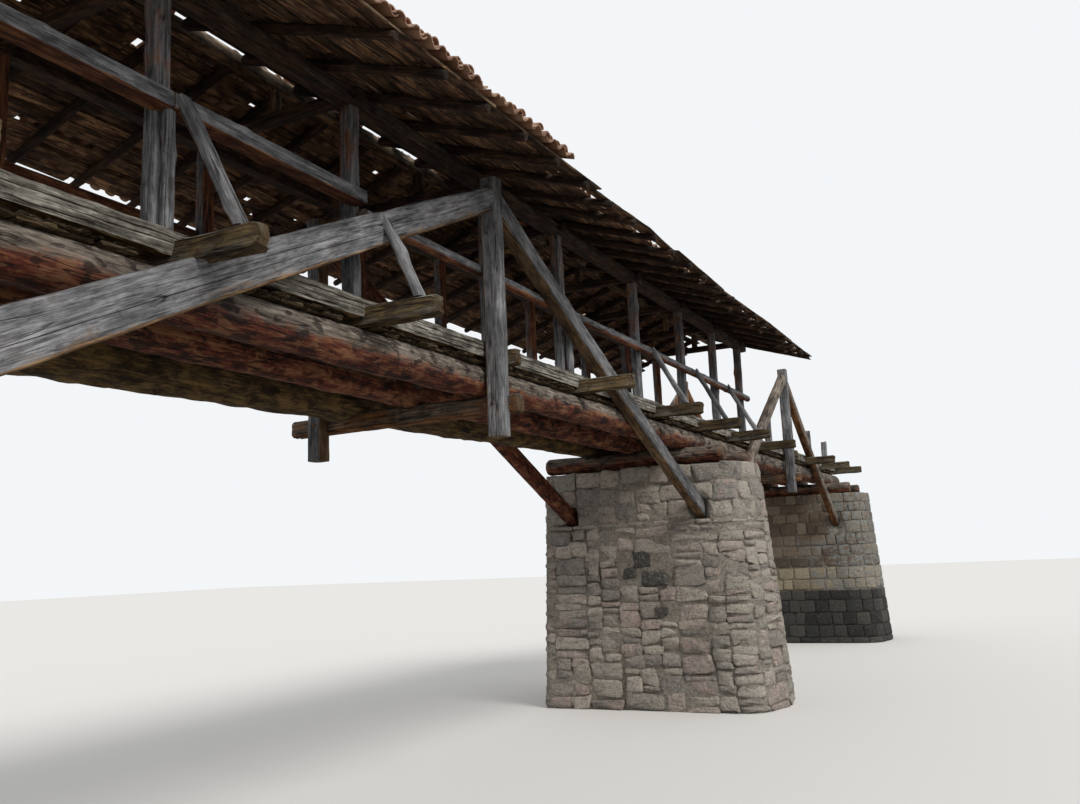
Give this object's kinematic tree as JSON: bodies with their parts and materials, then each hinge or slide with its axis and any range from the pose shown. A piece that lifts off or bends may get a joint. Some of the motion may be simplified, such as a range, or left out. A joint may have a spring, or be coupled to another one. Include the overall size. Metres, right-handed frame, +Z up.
{
  "type": "covered timber bridge",
  "caption": "Covered timber footbridge on stone piers: log beams hung from strutted king posts, with side rails and a tiled roof over one span.",
  "frame": {"origin": "middle of the bridge's box, at the foot of the piers", "axes": "+X along the bridge from the roofed long span to the open short span, +Y across it to the square pier ends, +Z up"},
  "size_m": [33.48, 5.3196, 8.4527],
  "materials": {
    "pier_stone": "rubble masonry, lime-washed joints",
    "ashlar_stone": "squared masonry with a dark, wet foot",
    "log_wood": "peeled, weathered pine",
    "beam_wood": "hewn, weathered pine",
    "hewn_wood": "hewn, grey and cracked",
    "deck_wood": "split and deeply weathered",
    "wall_wood": "grey, rubbed",
    "roof_wood": "dark brown, rough",
    "roof_tile": "unglazed clay, dusty"
  },
  "bodies": {
    "root": {"west_pier": "pier_stone", "middle_pier": "pier_stone", "east_pier": "ashlar_stone", "west_cross_logs": "log_wood", "middle_cross_logs": "log_wood", "east_cross_logs": "log_wood", "long_span_logs": "log_wood", "short_span_logs": "log_wood", "needle_beam_long": "beam_wood", "needle_beam_short": "beam_wood", "king_post_pegs": "beam_wood", "near_king_post_long": "hewn_wood", "far_king_post_long": "hewn_wood", "near_king_post_short": "hewn_wood", "far_king_post_short": "hewn_wood", "near_left_strut": "hewn_wood", "near_right_strut": "hewn_wood", "far_left_strut": "hewn_wood", "far_right_strut": "hewn_wood", "near_short_struts": "hewn_wood", "far_short_struts": "hewn_wood", "cross_timbers": "deck_wood", "deck_boards": "deck_wood", "near_sill": "deck_wood", "far_sill": "deck_wood", "near_posts": "wall_wood", "far_posts": "wall_wood", "parapet_posts": "wall_wood", "near_rails": "wall_wood", "far_rails": "wall_wood", "near_braces": "wall_wood", "far_braces": "wall_wood", "near_plate": "roof_wood", "far_plate": "roof_wood", "tie_beams": "roof_wood", "ridge_beam": "roof_wood", "ridge_props": "roof_wood", "near_rafters": "roof_wood", "far_rafters": "roof_wood", "near_roof_boards": "roof_wood", "far_roof_laths": "roof_wood", "near_tiles": "roof_tile", "far_tiles": "roof_tile", "ridge_tiles": "roof_tile"}
  },
  "joints": []
}
